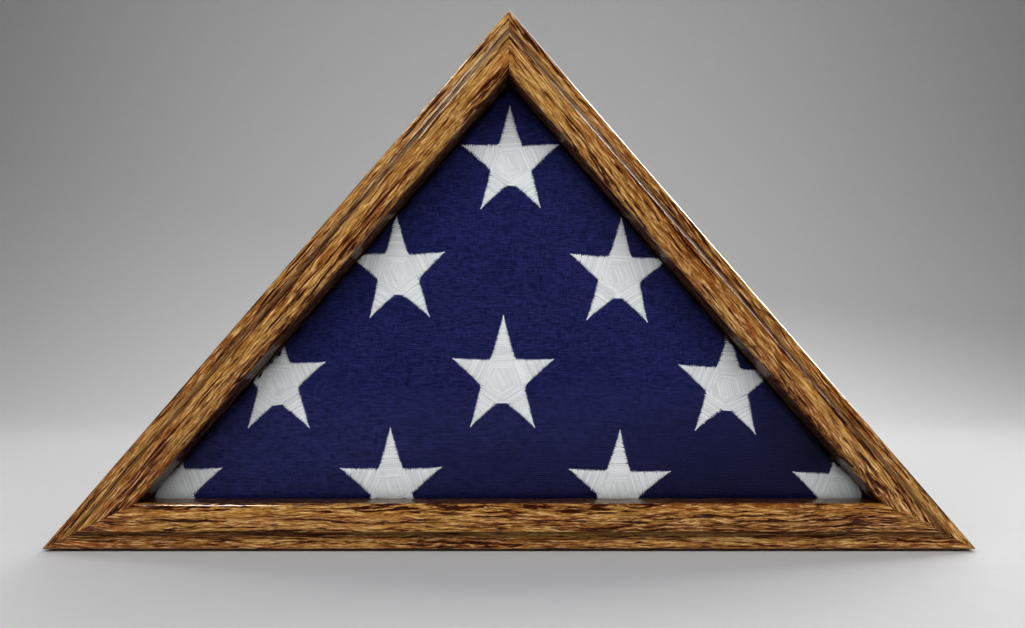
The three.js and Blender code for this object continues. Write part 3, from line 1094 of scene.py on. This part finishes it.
def lights():
    """Soft lamps in front, two that only glint on the varnish, and two for the back and the wall."""
    middle = (0, 0, 0.18)
    area_light("key", (-0.1, -1.6, 1.35), middle, (1.3, 1.0), 9, COOL, glossy=False)
    area_light("key_left", (-1.5, -1.3, 0.95), middle, (0.8, 0.8), 12, COOL, glossy=False)
    area_light("key_right", (1.5, -1.3, 0.95), middle, (0.8, 0.8), 11.5, COOL, glossy=False)
    area_light("front_ceiling", (0, -3.2, 3.0), (0, -3.0, 0), (5.0, 1.5), 60, glossy=False)
    area_light("edge_glint", (1.10, 0.49, 1.0), middle, (0.45, 1.0), 80, diffuse=False)
    area_light("window", (-0.64, -0.32, 1.12), (-0.2, 0, 0.1), (0.3, 0.14), 10, diffuse=False)
    area_light("back_fill", (0.5, 1.5, 1.5), middle, (1.4, 0.8), 14)
    area_light("wall_wash", (0.0, 0.7, 2.0), (0.0, 2.0, 0.0), (3.2, 0.5), 27, WARM)


def backdrop():
    """A pale floor that sweeps up far behind the case."""
    g = Graph("pale_paper")
    speckle = g.noise(g.stretched(g.place(), (60, 60, 60)), detail=3)
    colour = g.mix(speckle, (0.555, 0.555, 0.563, 1), (0.585, 0.585, 0.593, 1))
    paper = g.finish(Base_Color=colour, Roughness=0.9, Specular_IOR_Level=0.1)
    sweep_start = WALL_BACK - SWEEP_RADIUS
    sweep_steps = 16
    profile = [(FLOOR_FRONT, 0.0), (sweep_start, 0.0)]
    for i in range(1, sweep_steps + 1):
        turn = math.pi / 2 * i / sweep_steps
        run = SWEEP_RADIUS * math.sin(turn)
        rise = SWEEP_RADIUS * (1 - math.cos(turn))
        profile.append((sweep_start + run, rise))
    profile.append((WALL_BACK, WALL_TOP))
    verts = [(x, y, z) for y, z in profile for x in (-HALF_BREADTH, HALF_BREADTH)]
    faces = [(2 * i, 2 * i + 1, 2 * i + 3, 2 * i + 2) for i in range(len(profile) - 1)]
    new_piece("backdrop", verts, faces, paper)


def world():
    """Pale to look at, dim as a light, so that gloss stays clean."""
    room = bpy.data.worlds.new("room")
    room.use_nodes = True
    nodes, links = room.node_tree.nodes, room.node_tree.links
    seen = nodes.new("ShaderNodeBackground")
    seen.inputs["Color"].default_value = (0.42, 0.42, 0.43, 1)
    lit = nodes["Background"]
    lit.inputs["Color"].default_value = (0.06, 0.06, 0.063, 1)
    path = nodes.new("ShaderNodeLightPath")
    blend = nodes.new("ShaderNodeMixShader")
    links.new(path.outputs["Is Camera Ray"], blend.inputs[0])
    links.new(lit.outputs[0], blend.inputs[1])
    links.new(seen.outputs[0], blend.inputs[2])
    links.new(blend.outputs[0], nodes["World Output"].inputs["Surface"])
    bpy.context.scene.world = room


camera()
lights()
backdrop()
world()
bpy.context.scene.view_settings.view_transform = "Standard"
bpy.context.scene.view_settings.look = "Medium High Contrast"

wooden_members()
back_panel()
felt_liner()
turn_buttons()
stars(folded_flag())
dress_cad_nodes()
